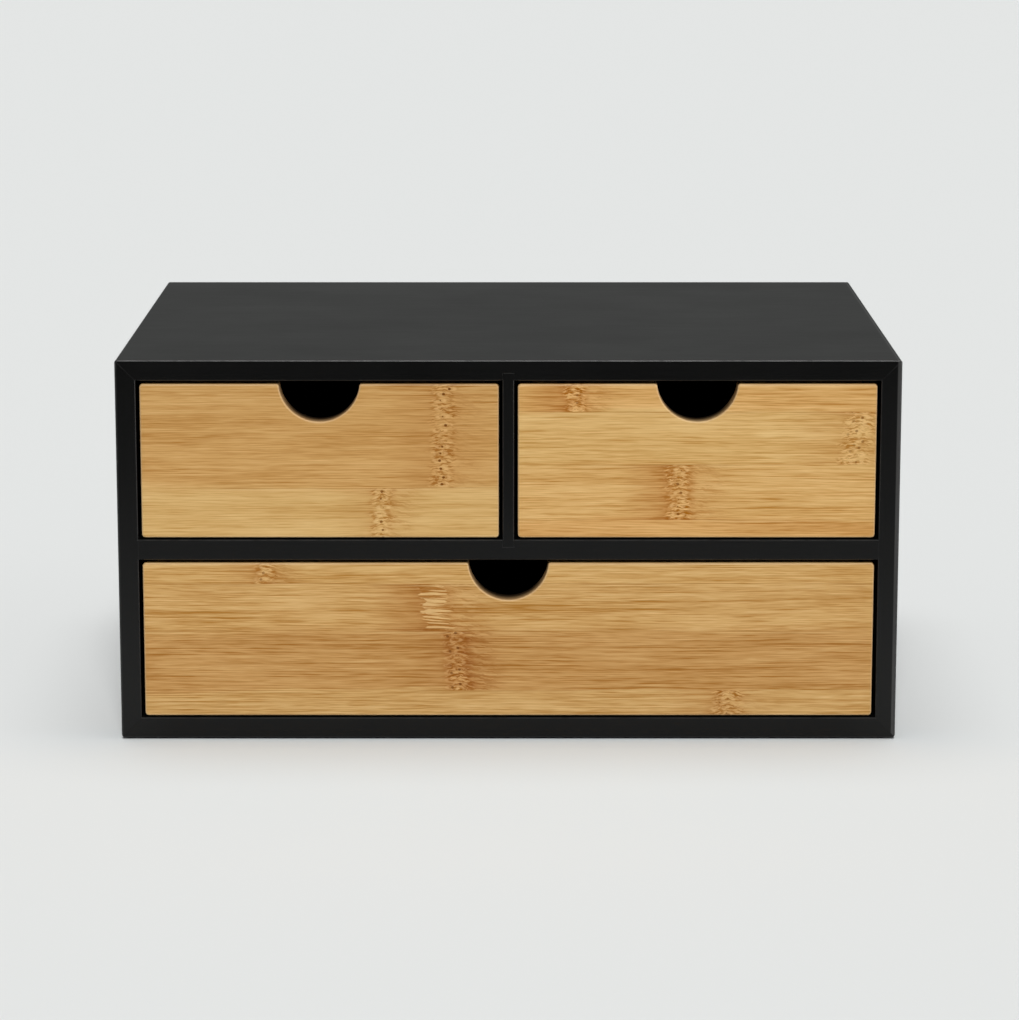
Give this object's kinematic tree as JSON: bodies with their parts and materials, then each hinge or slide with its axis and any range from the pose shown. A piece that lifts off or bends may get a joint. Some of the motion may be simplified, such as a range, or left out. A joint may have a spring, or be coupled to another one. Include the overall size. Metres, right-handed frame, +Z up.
{
  "type": "desktop mini drawers",
  "caption": "Desktop organiser with a black wooden case and bamboo-fronted drawers that slide out, each with a half-round finger notch.",
  "frame": {"origin": "middle of the base, on the surface that the case stands on", "axes": "+Z up; the drawer fronts face -Y, so the drawers open along -Y; +X is to the right when facing the fronts"},
  "size_m": [0.34, 0.255, 0.1684],
  "materials": {
    "black_lacquer": "satin black lacquer on board",
    "black_board": "matt black paint on thin board",
    "bamboo": "clear matt varnish on laminated bamboo",
    "beech": "bare beech",
    "foot_foam": "dark grey closed-cell foam",
    "brad_steel": "plain steel brads"
  },
  "bodies": {
    "case": {"top_panel": "black_lacquer", "bottom_panel": "black_lacquer", "left_panel": "black_lacquer", "right_panel": "black_lacquer", "corner_tongues": "beech", "shelf": "black_lacquer", "shelf_dowels": "beech", "partition": "black_lacquer", "back_panel": "black_board", "back_panel_brads": "brad_steel", "foot_pads": "foot_foam"},
    "left_drawer": {"left_drawer_front": "bamboo", "left_drawer_left_side": "black_board", "left_drawer_right_side": "black_board", "left_drawer_back": "black_board", "left_drawer_bottom": "black_board", "left_drawer_brads": "brad_steel"},
    "right_drawer": {"right_drawer_front": "bamboo", "right_drawer_left_side": "black_board", "right_drawer_right_side": "black_board", "right_drawer_back": "black_board", "right_drawer_bottom": "black_board", "right_drawer_brads": "brad_steel"},
    "wide_drawer": {"wide_drawer_front": "bamboo", "wide_drawer_left_side": "black_board", "wide_drawer_right_side": "black_board", "wide_drawer_back": "black_board", "wide_drawer_bottom": "black_board", "wide_drawer_brads": "brad_steel"}
  },
  "joints": [
    {"name": "left_drawer_slide", "type": "slide", "parent": "case", "child": "left_drawer", "axis": [0, -1, 0], "range_m": [0, 0.19]},
    {"name": "right_drawer_slide", "type": "slide", "parent": "case", "child": "right_drawer", "axis": [0, -1, 0], "range_m": [0, 0.19]},
    {"name": "wide_drawer_slide", "type": "slide", "parent": "case", "child": "wide_drawer", "axis": [0, -1, 0], "range_m": [0, 0.19]}
  ]
}
